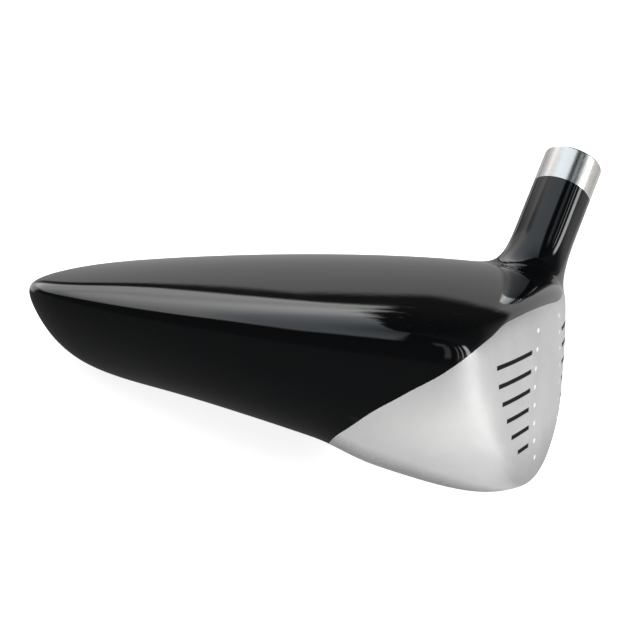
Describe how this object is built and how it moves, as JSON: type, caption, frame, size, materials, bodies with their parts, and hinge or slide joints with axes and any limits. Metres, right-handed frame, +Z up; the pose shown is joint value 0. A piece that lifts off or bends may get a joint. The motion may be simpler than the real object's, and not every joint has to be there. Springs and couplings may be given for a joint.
{
  "type": "golf club fairway wood head",
  "caption": "Right-handed hollow steel fairway wood head: satin face cup with score lines, gloss black crown, skirt and sole, flared neck and bored hosel.",
  "frame": {"origin": "centre of the shaft bore's mouth at the hosel tip", "axes": "+X toward the toe, +Y toward the target, +Z up with the sole level on the ground"},
  "size_m": [0.1264, 0.1015, 0.0617],
  "materials": {
    "satin_steel": "bead-blasted satin steel",
    "black_paint": "gloss black paint under clear coat on steel",
    "turned_steel": "fine turned bare steel",
    "weight_metal": "as-cast steel slab",
    "weld_metal": "unpolished weld",
    "score_paint": "matt black paint fill",
    "dot_paint": "white paint fill"
  },
  "bodies": {
    "root": {"face_cup": "satin_steel", "crown_plate": "black_paint", "body_skirt": "black_paint", "sole_plate": "black_paint", "hosel_neck": "black_paint", "hosel_tube": "turned_steel", "rear_weight_pad": "weight_metal", "front_weld_bead": "weld_metal", "crown_weld_bead": "weld_metal", "neck_weld_bead": "weld_metal", "sole_weld_bead": "weld_metal", "toe_score_paint": "score_paint", "heel_score_paint": "score_paint", "toe_dot_paint": "dot_paint", "heel_dot_paint": "dot_paint"}
  },
  "joints": []
}
